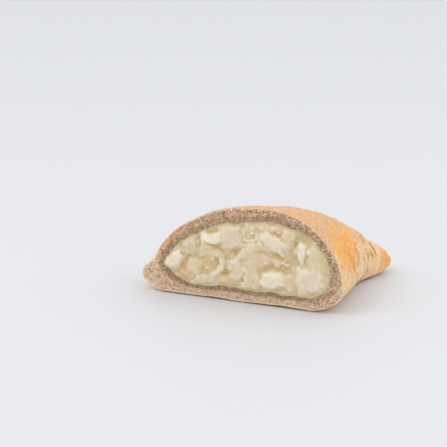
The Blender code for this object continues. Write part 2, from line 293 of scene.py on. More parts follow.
# %% Mesh helpers
def grid_faces(columns, rows, first, top, bottom, flip=False):
    """Faces of a fan of columns that share a top and a bottom. Rows counts the points between."""
    index = first + np.arange(columns * rows).reshape(columns, rows)
    a, b = index[:-1, :-1].ravel(), index[1:, :-1].ravel()
    c, d = index[1:, 1:].ravel(), index[:-1, 1:].ravel()
    faces = np.stack((a, d, c, b), axis=1).tolist()
    faces += [[top, i, j] for i, j in zip(index[:-1, 0], index[1:, 0])]
    faces += [[bottom, j, i] for i, j in zip(index[:-1, -1], index[1:, -1])]
    return [face[::-1] for face in faces] if flip else faces


def inside(loop, points):
    """Which points lie inside a closed loop, both in the plane of the cut."""
    result = np.zeros(len(points), bool)
    for (ax, az), (bx, bz) in zip(loop, np.roll(loop, -1, axis=0)):
        if az != bz:
            crosses = (az > points[:, 1]) != (bz > points[:, 1])
            result ^= crosses & (points[:, 0] < ax + (bx - ax) * (points[:, 1] - az) / (bz - az))
    return result


def distance_to(loop, points, closed=True):
    """The distance from each point to a line of points."""
    nearest = np.full(len(points), 1.0)
    ends = np.roll(loop, -1, axis=0) if closed else loop[1:]
    for a, b in zip(loop, ends):
        edge = b - a
        t = np.clip((points - a) @ edge / max(edge @ edge, 1e-16), 0.0, 1.0)
        nearest = np.minimum(nearest, np.linalg.norm(points - a - t[:, None] * edge, axis=1))
    return nearest


def scattered(loop, spacing, draw):
    """Points a little off an even triangular grid over a loop's box."""
    low, high = loop.min(axis=0), loop.max(axis=0)
    rows = np.arange(low[1], high[1], spacing * 0.866)
    points = []
    for i, z in enumerate(rows):
        xs = np.arange(low[0] + spacing * 0.5 * (i % 2), high[0], spacing)
        points.append(np.stack((xs, np.full_like(xs, z)), axis=1))
    points = np.concatenate(points)
    return points + draw.uniform(-0.3 * spacing, 0.3 * spacing, points.shape)


def triangulated(loops, points):
    """Triangles that join closed loops and the points in them, in the same order each time."""
    every = np.concatenate([*loops, points])
    edges, first = [], 0
    for loop in loops:
        index = first + np.arange(len(loop))
        edges += list(zip(index.tolist(), np.roll(index, -1).tolist()))
        first += len(loop)
    flat = [Vector(p) for p in every * 1000]  # in millimetres, so that the tolerance stays small
    verts, _, faces, origins, _, _ = delaunay_2d_cdt(flat, edges, [], 1, 1e-7)
    back = [group[0] if group else -1 for group in origins]
    assert min(back) >= 0 and len(verts) == len(every), "the loops cross"
    faces = np.array([[back[i] for i in face] for face in faces])
    first_corner = (faces.argmin(axis=1)[:, None] + np.arange(3)) % 3
    faces = np.take_along_axis(faces, first_corner, axis=1)
    faces = faces[np.lexsort(faces.T[::-1])]
    middles = every[faces].mean(axis=1)
    kept = inside(loops[0], middles)
    if len(loops) > 1:
        kept &= ~inside(loops[1], middles)
    return faces[kept]


def rim_of(index, first):
    """The points at the cut of a grid, as a closed loop; first is the crown's own number."""
    return np.concatenate(([first], index[0], [first + 1], index[-1, ::-1]))


def fill_cut(points, rims, spacing, draw):
    """Fills the cut inside the first rim and outside the second.

    Returns all points, the places of the new ones in the plane of the cut, their numbers, how far
    each is from the nearest rim, and the faces.
    """
    loops = [points[rim][:, [0, 2]] for rim in rims]
    new = scattered(loops[0], spacing, draw)
    new = new[inside(loops[0], new)]
    for loop in loops[1:]:
        new = new[~inside(loop, new)]
    from_loop = np.min([distance_to(loop, new) for loop in loops], axis=0)
    clear = from_loop > 0.45 * spacing
    new, from_loop = new[clear], from_loop[clear]
    numbers = len(points) + np.arange(len(new))
    faces = np.concatenate((*rims, numbers))[triangulated(loops, new)]
    standing = np.stack((new[:, 0], np.zeros(len(new)), new[:, 1]), axis=1)
    return np.concatenate((points, standing)), new, numbers, from_loop, faces


def rough(points, wavelength, octaves, seed):
    """Fractal noise near -1 to 1 at each point of space."""
    offset = Vector((seed * 7.3, seed * 3.1, seed * 5.7))
    return np.array([noise.fractal(Vector(p) / wavelength + offset, 1.0, 2.0, octaves) for p in points])


def add_values(mesh, **named):
    """Keeps numbers for each point under their names, for a material or a scatter to read."""
    for name, values in named.items():
        attribute = mesh.attributes.new(name, "FLOAT", "POINT")
        attribute.data.foreach_set("value", np.ascontiguousarray(values, dtype=np.float32))


def add_colours(mesh, name, colours):
    attribute = mesh.attributes.new(name, "FLOAT_COLOR", "POINT")
    rgba = np.concatenate((colours, np.ones((len(colours), 1))), axis=1)
    attribute.data.foreach_set("color", rgba.astype(np.float32).ravel())


def local_mean(places, values, radius):
    """The average of a value round each place of the cut, weighted by a bell curve of this radius."""
    cell = radius / 3
    low = places.min(axis=0) - 9 * cell
    index = ((places - low) / cell).astype(int)
    size = tuple(index.max(axis=0) + 10)
    bell = np.exp(-0.5 * (np.arange(-8, 9) / 3.0) ** 2)
    blurred = []
    for amount in (values, np.ones(len(values))):
        total = np.zeros(size)
        np.add.at(total, (index[:, 0], index[:, 1]), amount)
        for axis in (0, 1):
            total = np.apply_along_axis(np.convolve, axis, total, bell, mode="same")
        blurred.append(total[index[:, 0], index[:, 1]])
    return blurred[0] / blurred[1]


def link(name, mesh):
    made = bpy.data.objects.new(name, mesh)
    bpy.context.scene.collection.objects.link(made)
    return made


def triangle_count(mesh):
    return sum(len(polygon.vertices) - 2 for polygon in mesh.polygons)


# %% [markdown]
# The dough. On the real thing one skin of dough goes all round the filling: outside it is crust, at
# the cut it shows its crumb, and inside it is moist. So it is one closed mesh with three areas: the
# crust, a fine grid on the outer profile; the crumb, scattered points across the cut; and the lining of
# the hollow, a coarse grid, because only its edge shows. The soft filling has pressed into the dough,
# so their border wanders a little; the same gentle noise moves both.

# %% Build the dough's three areas
CRUST_STEP = 0.0005  # between points along the outline
CRUST_ROWS = 150
UNDER_ROWS = 14
LINING_COLUMNS = 22
LINING_ROWS = 190
LINING_UNDER_ROWS = 90
CRUMB_SPACING = 0.00030
BORDER_WANDER = ((0.00070, 0.0080), (0.00045, 0.0030), (0.00022, 0.0014))  # amount and wavelength
draw = np.random.default_rng(11)


def wandering(grid):
    """Moves a shell of the hollow sideways and up or down, most at the cut."""
    flat = grid.reshape(-1, 3) * (1, 0.3, 1)
    hold = 1 - smooth(0.004, 0.014, grid[..., 1])
    moved = grid.copy()
    for seed, (amount, wavelength) in enumerate(BORDER_WANDER):
        for axis in (0, 2):
            pushed = rough(flat, wavelength, 2, 60 + 5 * seed + axis).reshape(hold.shape)
            moved[..., axis] += hold * amount * pushed
    return moved


crust_columns = int(ALONG[-1] / CRUST_STEP) + 1
crust = shell_grid(OUTSIDE, np.linspace(0.0, ALONG[-1], crust_columns), CRUST_ROWS, UNDER_ROWS)
lining = shell_grid(INSIDE, np.linspace(0.0, ALONG[-1], LINING_COLUMNS), LINING_ROWS, LINING_UNDER_ROWS)
lining = wandering(lining)
crust_rows, lining_rows = crust.shape[1] - 2, lining.shape[1] - 2
crust_size, lining_size = crust_columns * crust_rows, LINING_COLUMNS * lining_rows

points = [crust[0, 0], crust[0, -1], lining[0, 0], lining[0, -1]]
points = np.concatenate((points, crust[:, 1:-1].reshape(-1, 3), lining[:, 1:-1].reshape(-1, 3)))
crust_index = 4 + np.arange(crust_size).reshape(crust_columns, crust_rows)
lining_index = 4 + crust_size + np.arange(lining_size).reshape(LINING_COLUMNS, lining_rows)
rim_index, hollow_index = rim_of(crust_index, 0), rim_of(lining_index, 2)
rim, hollow = points[rim_index][:, [0, 2]], points[hollow_index][:, [0, 2]]
filled = fill_cut(points, (rim_index, hollow_index), CRUMB_SPACING, draw)
points, crumb, crumb_index, _, crumb_faces = filled
print(f"crust {crust_size} points, crumb {len(crumb)} points, lining {lining_size} points")


# %% Join them into one mesh
def facing_front(points, faces):
    """The same triangles, all with their front towards the viewer of the cut, -Y."""
    corners = points[faces]
    away = np.cross(corners[:, 1] - corners[:, 0], corners[:, 2] - corners[:, 0])[:, 1] > 0
    return np.where(away[:, None], faces[:, ::-1], faces)


faces = grid_faces(crust_columns, crust_rows, 4, 0, 1)
area = [0] * len(faces)
faces += grid_faces(LINING_COLUMNS, lining_rows, 4 + crust_size, 2, 3, flip=True)
faces += facing_front(points, crumb_faces).tolist()
area += [1] * (len(faces) - len(area))
dough_mesh = bpy.data.meshes.new("baked_dough")
dough_mesh.from_pydata((points + SHIFT).tolist(), [], faces)
print("dough:", triangle_count(dough_mesh), "triangles, sound:", not dough_mesh.validate())

# %% [markdown]
# Relief of the crust. Baking raises broad soft blisters and a fine grain, the pleats pull short puckers
# into the dough, and near the corner, where the dough was bent round, fine creases run side by side
# over the fold. A bump map would do in a still picture, but real relief also catches light along the
# silhouette, so each point is moved along its normal. The mean of it is inwards, so that the part
# keeps inside its box.

# %% Move the crust's points
BLISTER = (0.00042, 0.0090)  # depth and wavelength
DIMPLE = (0.00020, 0.0030)
GRAIN = (0.00012, 0.0013)
CREASE_DEPTH = 0.00060
CREASE_PITCH = 0.0034
CREASES_AT = (0.010, 0.056)  # from the corner, along the fold
PLEAT_CREASE = 0.00035

count = len(points)
on_crust = np.zeros(count)
on_crust[[0, 1]] = 1
on_crust[crust_index.ravel()] = 1
flat = np.zeros(count * 3, np.float32)
dough_mesh.vertices.foreach_get("normal", flat)
normals = flat.reshape(-1, 3).astype(float)
normals[np.abs(points[:, 1]) < 1e-7, 1] = 0.0  # the cut's edge stays in the cut

along_outline = np.full(count, -1.0)
along_outline[crust_index.ravel()] = np.repeat(np.linspace(0.0, ALONG[-1], crust_columns), crust_rows)
chosen = np.where(on_crust > 0)[0]
places = points[chosen]
relief = BLISTER[0] * rough(places, BLISTER[1], 2, 1)
relief += DIMPLE[0] * rough(places, DIMPLE[1], 2, 2)
relief += GRAIN[0] * rough(places, GRAIN[1], 2, 3)

# Beside its neighbours along the seam, a point between pleats lies back and one on a pleat in front.
span = round(CRIMP_PITCH / CRUST_STEP / 2)
sheet = points[crust_index]
padded = np.pad(sheet, ((span, span), (0, 0), (0, 0)), mode="edge")
mean = sum(padded[k : k + crust_columns] for k in range(2 * span + 1)) / (2 * span + 1)
sunk = np.zeros(count)
sunk[crust_index] = ((mean - sheet) * normals[crust_index]).sum(axis=2)
seam_share = np.array([shares(s)[0] for s in along_outline[chosen]])
between_pleats = seam_share * smooth(0.00022, 0.00085, sunk[chosen])
on_pleat = seam_share * smooth(0.00010, 0.00045, -sunk[chosen])
relief -= PLEAT_CREASE * between_pleats

from_corner = along_outline[chosen] - CORNER
window = smooth(CREASES_AT[0] - 0.006, CREASES_AT[0], from_corner)
window *= 1 - smooth(CREASES_AT[1] - 0.020, CREASES_AT[1], from_corner)
window *= smooth(0.002, 0.008, places[:, 2]) * (1 - smooth(0.020, 0.032, places[:, 2]))
bend = rough(places * (1, 1, 0.35), 0.006, 2, 4)
crease_lines = np.cos(math.pi * (from_corner / CREASE_PITCH + 0.9 * bend)) ** 8
crease_patches = smooth(-0.25, 0.35, rough(places * (1, 1, 0.6), 0.005, 2, 5))
creased = window * crease_lines * crease_patches
relief -= CREASE_DEPTH * creased
relief *= smooth(0.0, 0.0012, places[:, 2])
moved = points.copy()
moved[chosen] += normals[chosen] * relief[:, None]
print("crust relief", (relief.min() * 1000).round(2), "to", (relief.max() * 1000).round(2), "mm")

# %% [markdown]
# Relief of the crumb. A knife drags the crumb of a whole-wheat dough into coarse grains with pits
# between them, and compresses it near the crust. Cell noise gives pits with edges; a finer fractal
# noise breaks them up. The pits also get painted shade, and the raised grains a painted highlight.

# %% Move the crumb's points
PIT_SIZE = 0.0013
PIT_DEPTH = 0.00045
CRUMB_GRAIN = (0.00034, 0.0013)  # depth and wavelength

from_rim = np.zeros(count)
from_hollow = np.zeros(count)
flat_points = points[:, [0, 2]]
chosen_cut = np.concatenate((crumb_index, hollow_index))
from_rim[chosen_cut] = distance_to(rim, flat_points[chosen_cut])
from_hollow[chosen_cut] = distance_to(hollow, flat_points[chosen_cut])


def cell_edges(places, size, seed):
    """0 in the middle of each cell and 1 at the borders between cells, in rough cells of this size."""
    offset = Vector((seed * 11.7, seed * 2.3, seed * 4.9))
    result = []
    for p in places:
        where = Vector(p) / size + offset
        bends = [noise.noise(where * 1.3 + Vector((9.3 * k, 5.1, 7.7 * k))) for k in range(3)]
        where += 0.35 * Vector(bends)
        near = noise.voronoi(where)[0]
        result.append(1 - min((near[1] - near[0]) / 0.5, 1.0))
    return np.array(result)


# Where the crumb is open and grainy: least in the moist band under the filling, most at the fold.
wavy = crumb[:, 1] + 0.0006 * rough(points[crumb_index], 0.005, 2, 10)
low_band = 1 - smooth(0.0028, 0.0042, wavy)
moist_band = (1 - low_band) * (1 - smooth(0.0064, 0.0082, wavy)) * smooth(-0.041, -0.034, crumb[:, 0])
at_fold = smooth(0.032, 0.038, crumb[:, 0]) * smooth(0.001, 0.005, crumb[:, 1])
grainy = (0.75 + 0.35 * at_fold) * (1 - 0.45 * low_band) * (1 - 0.85 * moist_band * (1 - at_fold))

in_patches = smooth(-0.3, 0.3, rough(points[crumb_index], 0.003, 2, 6))
pits = cell_edges(points[crumb_index], PIT_SIZE, 1) * in_patches * np.minimum(grainy, 1.0)
grains = rough(points[crumb_index], CRUMB_GRAIN[1], 3, 7)
inner = smooth(0.0, 0.0009, from_rim[crumb_index])
back = PIT_DEPTH * pits * inner - CRUMB_GRAIN[0] * grains * (0.3 + 0.7 * inner) * (0.4 + 0.6 * grainy)
moved[crumb_index, 1] += back
# Painted shade in the pits and a painted highlight on the raised grains, from how far each point lies
# below or above its surroundings.
pitted = np.zeros(count)
depth = back - local_mean(crumb, back, 0.0011)
pitted[crumb_index] = smooth(0.00002, 0.00032, depth)
raised = np.zeros(count)
raised[crumb_index] = smooth(0.00004, 0.00026, -depth)
print("crumb relief", (back.min() * 1000).round(2), "to", (back.max() * 1000).round(2), "mm")

# %% [markdown]
# Colour of the crust. An oven browns what stands out: the fold's shoulder, the tip of the corner, the
# tops of the pleats. The places and strengths are listed, and noise breaks up their edges.

# %% Work out where the crust is toasted, and finish the dough
TOASTED = (  # a place in millimetres, its radius and how brown it is
    ((44, 14, 25), 9, 1.0),
    ((41, 24, 27), 7, 0.70),
    ((48.5, 62, 8), 4.5, 1.1),
    ((36, 40, 22), 9, 0.25),
    ((20, 30, 36), 12, 0.20),
    ((-20, 25, 26), 14, 0.20),
    ((5, 48, 18), 12, 0.25),
    ((-36, 20, 12), 9, 0.30),
    ((47, 37, 16), 9, -1.1),
    ((33, 20, 34), 9, -0.15),
)
toasted = np.zeros(count)
for place, radius, strength in TOASTED:
    gap = np.linalg.norm(places * 1000 - place, axis=1) / radius
    toasted[chosen] += strength * np.exp(-0.5 * gap**2)
toasted[chosen] += 0.24 * rough(places, 0.011, 3, 8) + 0.22 * rough(places, 0.0035, 3, 9)
near_lip = seam_share * (1 - smooth(0.008, 0.016, places[:, 2]))
blistered = smooth(-0.2, 0.5, relief / BLISTER[0])
toasted[chosen] += 0.25 * near_lip * blistered + 0.45 * on_pleat
toasted = np.clip(toasted, 0.0, 1.3)

# %% [markdown]
# The underside's edge at the cut. The knife's drag leaves it a little off the table, so a thin dark line
# shows under the cut. Points near that edge are raised, less and less with their distance from it. A
# hair's stretch then makes the crust's box the solid's box.

# %% Lift the edge and put the points in the frame
UNDERCUT = 0.0011  # about how far off the table the edge is
UNDERCUT_REACH = 0.007

uneven = 0.7 + 0.5 * rough(moved * (1, 0, 0), 0.012, 2, 12)
lifted = 1 - smooth(0.0005, UNDERCUT_REACH, moved[:, 1])
lifted *= 1 - smooth(0.0, UNDERCUT_REACH, moved[:, 2])
moved[:, 2] += UNDERCUT * uneven * lifted
moved[on_crust > 0, 1] = np.maximum(moved[on_crust > 0, 1], 0.0)
crust_low, crust_high = moved[on_crust > 0].min(axis=0), moved[on_crust > 0].max(axis=0)
STRETCH = (np.array(dough_high) - np.array(dough_low)) / (crust_high - crust_low)


def placed(points):
    """Where points stand in the frame."""
    return np.array(dough_low) + (points - crust_low) * STRETCH


print("stretched by", ((STRETCH - 1) * 100).round(2), "%")
dough_mesh.vertices.foreach_set("co", placed(moved).astype(np.float32).ravel())

# %% [markdown]
# What the finishes and the scatters have to know at each point is kept with the mesh, by name. The rim
# of the cut frays into pale curls, most at the heel of the fold, where the knife leaves the dough, and
# some at the lip. Grains of crumb stand loose where the crumb is open. A material can't measure the
# distance to a rim by itself, and a painted mask would have to be painted anew after each change.

# %% Keep the values and close the dough's mesh
FOLD_MIDDLE = 0.030  # from the corner, along the fold
FRAYED = (0.20, 1.0, 0.30)  # all round, at the heel and at the lip

along = np.maximum(along_outline, 0.0)
beside_fold = np.clip(1.2 - np.abs(along - CORNER - FOLD_MIDDLE) / FOLD_MIDDLE, 0.0, 1.0)
row_share, full_creased, on_cut, frayed, beneath = np.zeros((5, count))
row_share[crust_index.ravel()] = np.tile(np.arange(crust_rows) / crust_rows, crust_columns)
# The creases and the dips between the pleats are darkened in the crust's finish, as painted shade.
full_creased[chosen] = np.maximum(creased, 0.70 * between_pleats)
at_rim, at_hollow = from_rim[crumb_index], from_hollow[crumb_index]
on_cut[crumb_index] = smooth(0.0002, 0.0007, np.minimum(at_rim, at_hollow)) * grainy
beside_rim = smooth(0.0001, 0.0006, at_rim) * (1 - smooth(0.0012, 0.0030, at_rim))
by_heel = smooth(0.030, 0.036, crumb[:, 0]) * (1 - smooth(0.010, 0.015, crumb[:, 1]))
by_lip = 1 - smooth(-0.042, -0.038, crumb[:, 0])
share = FRAYED[0] + FRAYED[1] * by_heel + FRAYED[2] * by_lip
frayed[crumb_index] = beside_rim * np.clip(share, 0.0, 1.0)
# The underside is browned by the tray; its darker colour also stands in as painted shade at the lifted
# edge under the cut.
beneath[1] = 1
beneath[crust_index[:, CRUST_ROWS:]] = 1
add_values(
    dough_mesh,
    along=along,
    down=0.06 * row_share,
    fold=beside_fold * (along > CORNER),
    toasted=toasted,
    from_rim=from_rim,
    from_hollow=from_hollow,
    pitted=pitted,
    raised=raised,
    creased=full_creased,
    cut=on_cut,
    frayed=frayed,
    crust=on_crust * smooth(0.002, 0.005, points[:, 2]),
    beneath=beneath,
)
dough_mesh.polygons.foreach_set("material_index", area)
dough_mesh.shade_smooth()
areas_at_edge = {}
for polygon in dough_mesh.polygons:
    for key in polygon.edge_keys:
        areas_at_edge.setdefault(key, set()).add(area[polygon.index])
sharp = [len(areas_at_edge[edge.key]) > 1 for edge in dough_mesh.edges]
dough_mesh.attributes.new("sharp_edge", "BOOLEAN", "EDGE").data.foreach_set("value", sharp)
baked_dough = link("baked_dough", dough_mesh)
print("sharp edges round the cut:", sum(sharp))

# %% [markdown]
# The filling. At the cut it is a shallow landscape: soft off-white pieces, some smooth and blocky, some
# torn into strands, closely packed and bound by a little sauce. Separate lumps joined by a Boolean have
# hard seams that a sauce would have filled, so the face is one surface whose height is worked out at
# each point: each piece is a softened block with its own tilt, and where two meet the higher one shows
# and their seam is rounded.

# %% The large pieces, in millimetres
BLOCKS = (  # across, up, half sizes, turn, how far proud, rise along and across itself, tone
    (-24.0, 24.0, 4.6, 4.2, 30, 0.55, 0.10, 0.20, "beige"),
    (-32.5, 15.8, 5.8, 4.2, 36, 1.35, -0.10, 0.15, "pale"),
    (-22.5, 14.0, 4.4, 5.0, 80, 0.60, 0.10, 0.10, "cream"),
    (-15.5, 15.5, 4.6, 5.6, -20, 0.55, 0.10, 0.10, "straw"),
    (-15.0, 22.6, 6.6, 3.4, -18, 0.65, -0.15, 0.20, "cream"),
    (-13.6, 28.4, 5.0, 3.2, 12, 1.35, -0.15, 0.20, "white"),
    (-4.6, 29.8, 6.2, 6.6, 4, 0.95, -0.05, 0.15, "buff"),
    (3.4, 33.2, 3.4, 4.4, -10, 0.50, 0.00, 0.10, "green"),
    (9.0, 22.4, 9.4, 6.6, 40, 0.90, 0.00, 0.35, "beige"),
    (5.0, 14.2, 4.6, 7.6, 12, 0.60, 0.10, 0.10, "green"),
    (15.4, 30.0, 7.8, 3.8, -28, 1.20, -0.30, 0.10, "blush"),
    (22.2, 32.8, 4.2, 4.6, -5, 0.85, 0.00, 0.20, "cream"),
    (13.0, 36.2, 7.0, 2.0, -4, 0.45, 0.00, 0.20, "cream"),
    (28.0, 26.6, 2.8, 5.6, -4, 1.00, 0.00, 0.20, "pale"),
    (35.2, 23.6, 5.4, 8.0, 14, 0.60, -0.20, 0.15, "green"),
    (32.2, 14.4, 7.4, 6.2, 12, 1.10, -0.10, 0.15, "blush"),
    (15.4, 11.8, 6.4, 4.6, -4, 1.20, -0.10, 0.25, "pale"),
    (22.6, 12.0, 3.2, 5.4, 0, 0.45, 0.00, 0.10, "green"),
    (-2.6, 14.2, 4.6, 4.6, 25, 0.90, -0.10, 0.10, "buff"),
    (-6.0, 9.2, 6.4, 3.0, 5, 0.50, 0.00, 0.10, "straw"),
    (-17.4, 9.0, 5.6, 3.0, 8, 0.55, 0.00, 0.10, "green"),
    (-26.4, 9.4, 4.4, 2.4, -10, 0.25, 0.00, 0.00, "straw"),
    (4.0, 8.4, 5.0, 2.0, 3, 0.45, 0.00, 0.00, "green"),
)
STRANDS = (  # points across and up, then width, how far proud and tone
    (((-5.6, 17.2), (-1.2, 20.0), (2.0, 24.4), (7.4, 29.0)), 2.0, 1.05, "white"),
    (((6.8, 33.8), (7.6, 31.0), (3.6, 29.0), (0.8, 29.6)), 1.2, 0.95, "blush"),
    (((-9.4, 20.0), (-8.6, 16.6), (-10.6, 13.4), (-14.4, 10.0)), 2.0, 1.05, "white"),
    (((-25.2, 18.6), (-22.4, 16.2), (-21.0, 12.0), (-19.2, 7.4)), 1.6, 0.90, "pale"),
    (((-19.6, 20.2), (-14.8, 21.4), (-9.6, 20.0)), 1.5, 0.80, "pale"),
    (((10.8, 23.0), (15.0, 21.6), (19.4, 20.8), (22.6, 22.6)), 1.6, 0.70, "straw"),
    (((25.6, 28.2), (26.0, 26.0)), 1.4, 1.25, "white"),
    (((19.6, 20.4), (22.0, 22.4)), 1.4, 0.90, "pale"),
    (((2.6, 18.4), (3.4, 12.0), (2.4, 7.6)), 1.6, 0.75, "cream"),
    (((6.4, 17.6), (6.8, 11.0)), 1.6, 0.75, "cream"),
    (((-30.4, 21.6), (-26.0, 20.6), (-22.6, 21.2)), 1.6, 0.70, "cream"),
)
STAINS = (  # hollows between the pieces, with painted shade in them: across, up, half sizes, turn, depth and strength of the shade
    (13.4, 24.2, 5.0, 1.1, -8, 0.55, 0.70),
    (19.6, 22.2, 3.4, 1.0, -30, 0.45, 0.45),
    (16.0, 17.4, 6.4, 1.6, 4, 0.40, 0.40),
    (24.8, 22.6, 2.6, 2.4, 20, 0.45, 0.75),
    (-12.2, 17.2, 1.6, 2.4, -10, 0.60, 0.85),
    (-6.6, 13.6, 1.9, 1.3, 10, 0.60, 0.90),
    (-26.2, 15.6, 1.5, 4.2, -12, 0.50, 0.75),
    (-13.0, 24.6, 5.0, 0.9, -20, 0.45, 0.55),
    (-20.2, 25.4, 1.2, 2.2, 0, 0.35, 0.45),
    (-1.6, 23.6, 1.8, 2.6, -30, 0.45, 0.45),
    (19.6, 8.8, 2.2, 1.3, 10, 0.35, 0.80),
    (26.2, 31.4, 0.8, 2.8, 5, 0.50, 0.55),
    (38.6, 21.0, 1.6, 5.0, 14, 0.15, 0.40),
    (4.0, 31.6, 1.5, 1.6, 0, 0.35, 0.35),
    (-17.0, 13.4, 1.4, 1.2, 0, 0.35, 0.50),
    (-28.6, 8.8, 3.4, 1.4, -15, 0.25, 0.60),
)
TONES = {  # linear red, green and blue
    "white": (0.87, 0.78, 0.64),
    "pale": (0.82, 0.74, 0.60),
    "blush": (0.79, 0.68, 0.53),
    "buff": (0.75, 0.61, 0.45),
    "beige": (0.70, 0.565, 0.375),
    "cream": (0.72, 0.575, 0.36),
    "straw": (0.67, 0.50, 0.26),
    "green": (0.72, 0.60, 0.38),
    "sauce": (0.61, 0.46, 0.24),
}
# An olive painted shade, laid in the hollows and wherever the face dips below its surroundings.
POOLED = np.array((0.60, 0.42, 0.17))
LIT_EDGE = np.array((0.86, 0.78, 0.64))
# Painted shade along the filling's edge, where it meets the crumb.
SOAKED = np.array((0.52, 0.42, 0.25))
SAUCE_DEPTH = 0.0006  # behind the cut
SWOLLEN = 1.08  # the sauce that coats a piece makes it larger and softer
STRAND_SPREAD, STRAND_PROUD = 1.55, 0.55  # and does the same to a strand
PROUD_MOST = 0.00136
BITS = (0.0011, 0.0021)  # half sizes of the small pieces
BIT_SPACING = 0.0047
PIECE_BLEND = 0.00085  # how wide the sauce rounds the seam between two pieces
STRAND_BLEND = 0.00080

# %% [markdown]
# The face and the core. Behind the cut the filling can't be seen, so a coarse grid is enough there. The
# face gets points close enough together to carry the strands and the fine tears in the pieces.

# %% Spread points over the face
FACE_SPACING = 0.00027
CORE_COLUMNS = 20
CORE_GAP = 0.00006  # between the filling and the dough, too narrow to see

distances = np.linspace(0.0, ALONG[-1], CORE_COLUMNS)
core = wandering(shell_grid(INSIDE, distances, LINING_ROWS, LINING_UNDER_ROWS, CORE_GAP))
core_rows = core.shape[1] - 2
core_index = 2 + np.arange(CORE_COLUMNS * core_rows).reshape(CORE_COLUMNS, core_rows)
points = np.concatenate(([core[0, 0], core[0, -1]], core[:, 1:-1].reshape(-1, 3)))
edge_index = rim_of(core_index, 0)
edge = points[edge_index][:, [0, 2]]
points, face, face_index, from_edge, face_faces = fill_cut(points, (edge_index,), FACE_SPACING, draw)
print("filling face:", len(face), "points")


# %% The height and colour of the face
def bits(draw):
    """A few small pieces over the face, none nearer to another than the spacing."""
    low, high = edge.min(axis=0), edge.max(axis=0)
    tries = draw.uniform(low, high, (3000, 2))
    kept = []
    for place in tries[inside(edge, tries)]:
        if all(np.hypot(*(place - other)) > BIT_SPACING for other in kept):
            kept.append(place)
    rows = []
    for x, z in kept:
        size = draw.uniform(*BITS)
        tone = draw.choice(("cream", "blush", "pale", "straw"))
        slant = draw.uniform(-0.3, 0.3, 2)
        proud = draw.uniform(0.0002, 0.0008)
        height = size * draw.uniform(0.5, 0.9)
        rows.append((x, z, size, height, draw.uniform(-80, 80), proud, *slant, tone))
    return rows


def block(places, row, seed):
    """How far one softened, tilted block stands at each place, and how much of it covers the place."""
    x, z, half_x, half_z, turn, proud, rise_u, rise_v, _ = row
    turn = math.radians(turn)
    height = np.full(len(places), -0.003)
    cover = np.zeros(len(places))
    near = np.linalg.norm(places - (x, z), axis=1) < 1.8 * max(half_x, half_z) + 0.0008
    close = np.pad(places[near], ((0, 0), (0, 1)))
    bend = np.stack([rough(close, 0.0050, 2, seed + k) for k in (0, 50)], axis=1)
    tear = np.stack([rough(close, 0.0016, 2, seed + k) for k in (20, 70)], axis=1)
    close = close[:, :2] + 0.0013 * bend + 0.00022 * tear - (x, z)
    along = close[:, 0] * math.cos(turn) + close[:, 1] * math.sin(turn)
    across = close[:, 1] * math.cos(turn) - close[:, 0] * math.sin(turn)
    u, v = along / half_x, across / half_z
    reach = (np.abs(u) ** 2.8 + np.abs(v) ** 2.8) ** (1 / 2.8)
    body = 1 - smooth(0.45, 1.35, reach)
    fibre = rough(np.stack((along * 0.25, across, np.zeros(len(u))), axis=1), 0.0011, 2, seed + 9)
    top = proud * (1 + rise_u * u + rise_v * v) + 0.00005 * fibre
    floor = -SAUCE_DEPTH - 0.0008
    height[near] = floor + (top - floor) * body
    cover[near] = 1 - smooth(0.62, 1.30, reach)
    return height, cover


def strand(places, row, seed):
    """A thin strand along a bent line, that thins out towards its ends."""
    path, width, proud = row[0], row[1] * STRAND_SPREAD, row[2] * STRAND_PROUD
    path = np.array(path) / 1000
    fine = np.linspace(0, len(path) - 1, 12 * len(path))
    path = np.stack([np.interp(fine, range(len(path)), path[:, axis]) for axis in (0, 1)], axis=1)
    for _ in range(12):
        path[1:-1] = (path[:-2] + path[1:-1] + path[2:]) / 3
    spots = np.pad(places, ((0, 0), (0, 1)))
    bent = places + 0.0009 * np.stack([rough(spots, 0.0026, 3, seed + k) for k in (0, 9)], axis=1)
    uneven = 1 + 0.4 * rough(spots, 0.0034, 2, seed + 14)
    gap = distance_to(path, bent, closed=False) / (uneven * width / 2000)
    ends = np.minimum(*(np.linalg.norm(bent - end, axis=1) for end in (path[0], path[-1])))
    taper = smooth(-0.0004, 0.0020, ends)
    body = (1 - smooth(0.2, 1.9, gap)) * (0.4 + 0.6 * taper)
    floor = -SAUCE_DEPTH - 0.0004
    return floor + (proud / 1000 - floor) * body, (1 - smooth(0.5, 1.6, gap)) * taper


def rounded_max(a, b, width):
    return np.maximum(a, b) + np.maximum(width - np.abs(a - b), 0.0) ** 2 / (4 * width)


spots = np.pad(face, ((0, 0), (0, 1)))
height = -SAUCE_DEPTH + 0.00030 * rough(spots, 0.007, 2, 21)
colour = np.tile(TONES["sauce"], (len(face), 1))
large = []
for x, z, half_x, half_z, turn, proud, *rest in BLOCKS:
    sizes = np.array((x, z, SWOLLEN * half_x, SWOLLEN * half_z)) / 1000
    large.append((*sizes, turn, proud / 1000, *rest))
for seed, row in enumerate(bits(draw) + large):
    tall, cover = block(face, row, 100 + seed)
    over = smooth(-0.00060, 0.00070, tall - height) * cover
    colour += over[:, None] * (np.array(TONES[row[-1]]) - colour)
    height = rounded_max(tall, height, PIECE_BLEND)
for seed, row in enumerate(STRANDS):
    tall, cover = strand(face, row, 300 + 20 * seed)
    over = 0.6 * smooth(-0.00050, 0.00040, tall - height) * cover
    colour += over[:, None] * (np.array(TONES[row[-1]]) - colour)
    height = rounded_max(tall, height, STRAND_BLEND)
pooled = np.zeros(len(face))
for seed, (x, z, half_x, half_z, turn, depth, strength) in enumerate(STAINS):
    row = (x / 1000, z / 1000, 1.15 * half_x / 1000, 1.15 * half_z / 1000, turn, 0.0, 0.0, 0.0, "")
    _, cover = block(face, row, 600 + seed)
    height -= depth / 1000 * cover
    pooled = np.maximum(pooled, strength * cover)

